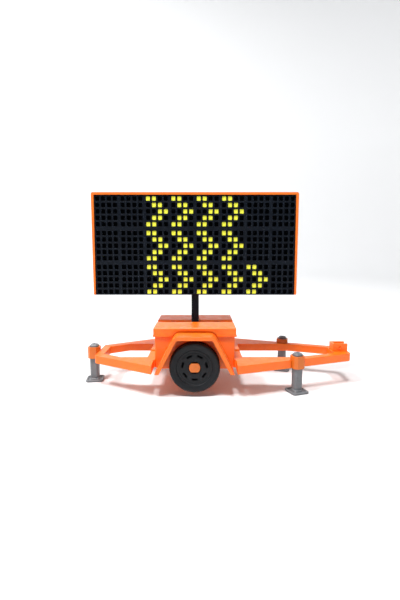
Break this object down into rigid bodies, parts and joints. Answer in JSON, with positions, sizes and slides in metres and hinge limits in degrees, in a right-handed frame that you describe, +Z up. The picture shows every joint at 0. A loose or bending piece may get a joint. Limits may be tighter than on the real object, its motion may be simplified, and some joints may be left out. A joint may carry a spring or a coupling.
{
  "type": "message sign trailer",
  "caption": "Desk model of a portable message sign trailer: diamond frame on jacks, lidded boxes, wheels under plate fenders, and a pixel sign that turns on a mast.",
  "frame": {"origin": "on the floor, under the middle of the trailer's overall length and width", "axes": "+X towards the coupler, +Y to the left side of the trailer, +Z up; the sign faces -Y at rest"},
  "size_m": [0.159, 0.0638, 0.1121],
  "materials": {
    "orange_plastic": "semi-gloss printed plastic",
    "black_plastic": "satin printed plastic",
    "wheel_plastic": "satin printed plastic",
    "grey_plastic": "satin printed plastic",
    "yellow_plastic": "semi-gloss printed plastic",
    "steel_pin": "drawn wire"
  },
  "bodies": {
    "chassis": {"chassis_frame": "orange_plastic", "mast_socket": "orange_plastic", "drawbar_coupler": "orange_plastic", "left_box": "orange_plastic", "right_box": "orange_plastic", "left_hinge_pin": "steel_pin", "right_hinge_pin": "steel_pin", "left_fender": "orange_plastic", "right_fender": "orange_plastic", "left_axle": "orange_plastic", "right_axle": "orange_plastic", "rear_jack_sleeve": "orange_plastic", "front_left_jack_sleeve": "orange_plastic", "front_right_jack_sleeve": "orange_plastic"},
    "left_wheel": {"left_rim": "wheel_plastic", "left_tyre": "wheel_plastic"},
    "right_wheel": {"right_rim": "wheel_plastic", "right_tyre": "wheel_plastic"},
    "left_lid": {"left_lid": "orange_plastic"},
    "right_lid": {"right_lid": "orange_plastic"},
    "mast_and_sign": {"mast": "black_plastic", "sign_case": "orange_plastic", "sign_backing": "black_plastic", "sign_grille": "black_plastic", "pixel_insert_r1_c3": "yellow_plastic", "pixel_insert_r1_c4": "yellow_plastic", "pixel_insert_r1_c5": "yellow_plastic", "pixel_insert_r1_c6": "yellow_plastic", "pixel_insert_r2_c3": "yellow_plastic", "pixel_insert_r2_c4": "yellow_plastic", "pixel_insert_r2_c5": "yellow_plastic", "pixel_insert_r2_c6": "yellow_plastic", "pixel_insert_r3_c3": "yellow_plastic", "pixel_insert_r3_c4": "yellow_plastic", "pixel_insert_r3_c5": "yellow_plastic", "pixel_insert_r3_c6": "yellow_plastic", "pixel_insert_r3_c7": "yellow_plastic"},
    "rear_jack": {"rear_jack_leg": "grey_plastic", "rear_jack_foot": "grey_plastic"},
    "front_left_jack": {"front_left_jack_leg": "grey_plastic", "front_left_jack_foot": "grey_plastic"},
    "front_right_jack": {"front_right_jack_leg": "grey_plastic", "front_right_jack_foot": "grey_plastic"}
  },
  "joints": [
    {"name": "left_wheel_spin", "type": "hinge", "parent": "chassis", "child": "left_wheel", "pos_m": [-0.0125, 0.025, 0.0163], "axis": [0, 1, 0], "continuous": true},
    {"name": "right_wheel_spin", "type": "hinge", "parent": "chassis", "child": "right_wheel", "pos_m": [-0.0125, -0.025, 0.0163], "axis": [0, 1, 0], "continuous": true},
    {"name": "left_lid_hinge", "type": "hinge", "parent": "chassis", "child": "left_lid", "pos_m": [-0.0125, 0.0049, 0.0346], "axis": [1, 0, 0], "range_deg": [0, 65]},
    {"name": "right_lid_hinge", "type": "hinge", "parent": "chassis", "child": "right_lid", "pos_m": [-0.0125, -0.0049, 0.0346], "axis": [-1, 0, 0], "range_deg": [0, 65]},
    {"name": "mast_swivel", "type": "hinge", "parent": "chassis", "child": "mast_and_sign", "pos_m": [-0.0125, 0, 0.026], "axis": [0, 0, 1], "continuous": true},
    {"name": "rear_jack_slide", "type": "slide", "parent": "chassis", "child": "rear_jack", "axis": [0, 0, 1], "range_m": [0, 0.012]},
    {"name": "front_left_jack_slide", "type": "slide", "parent": "chassis", "child": "front_left_jack", "axis": [0, 0, 1], "range_m": [0, 0.012]},
    {"name": "front_right_jack_slide", "type": "slide", "parent": "chassis", "child": "front_right_jack", "axis": [0, 0, 1], "range_m": [0, 0.012]}
  ]
}
